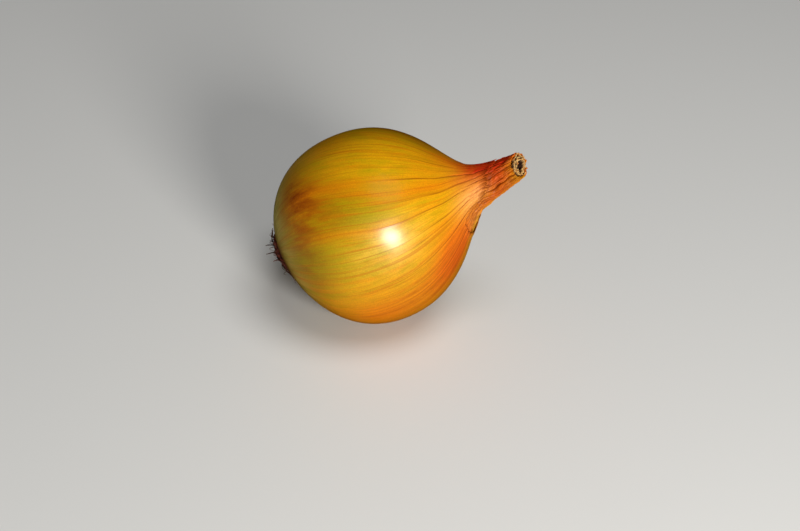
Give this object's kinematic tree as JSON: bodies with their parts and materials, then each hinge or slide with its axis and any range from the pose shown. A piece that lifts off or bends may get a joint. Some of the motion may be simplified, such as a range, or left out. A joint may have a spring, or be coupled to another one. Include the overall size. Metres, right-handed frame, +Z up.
{
  "type": "onion",
  "caption": "Round yellow onion with dry papery skin, a trimmed and bent dry neck, and a root plate with dried root strands, lying on its side on a small flat spot.",
  "frame": {"origin": "centre of the small flat spot on the bulb's side that the onion rests on", "axes": "+Z up, away from the surface; +X along the onion from roots to neck, seen from above; the onion's own axis lies in the XZ plane and climbs 26.4 degrees towards +X"},
  "size_m": [0.0941, 0.072, 0.0707],
  "materials": {
    "onion_skin": "dry glossy onion skin, amber gold with orange veins, olive patches and a reddish neck",
    "root_plate": "matte cracked cork, dark red brown",
    "dried_root": "matte shrivelled fibre, dark brown"
  },
  "bodies": {
    "root": {"bulb": "onion_skin", "root_plate": "root_plate", "root_01": "dried_root", "root_02": "dried_root", "root_03": "dried_root", "root_04": "dried_root", "root_05": "dried_root", "root_06": "dried_root", "root_07": "dried_root", "root_08": "dried_root", "root_09": "dried_root", "root_10": "dried_root", "root_11": "dried_root", "root_12": "dried_root", "root_13": "dried_root", "root_14": "dried_root", "root_15": "dried_root", "root_16": "dried_root"}
  },
  "joints": []
}
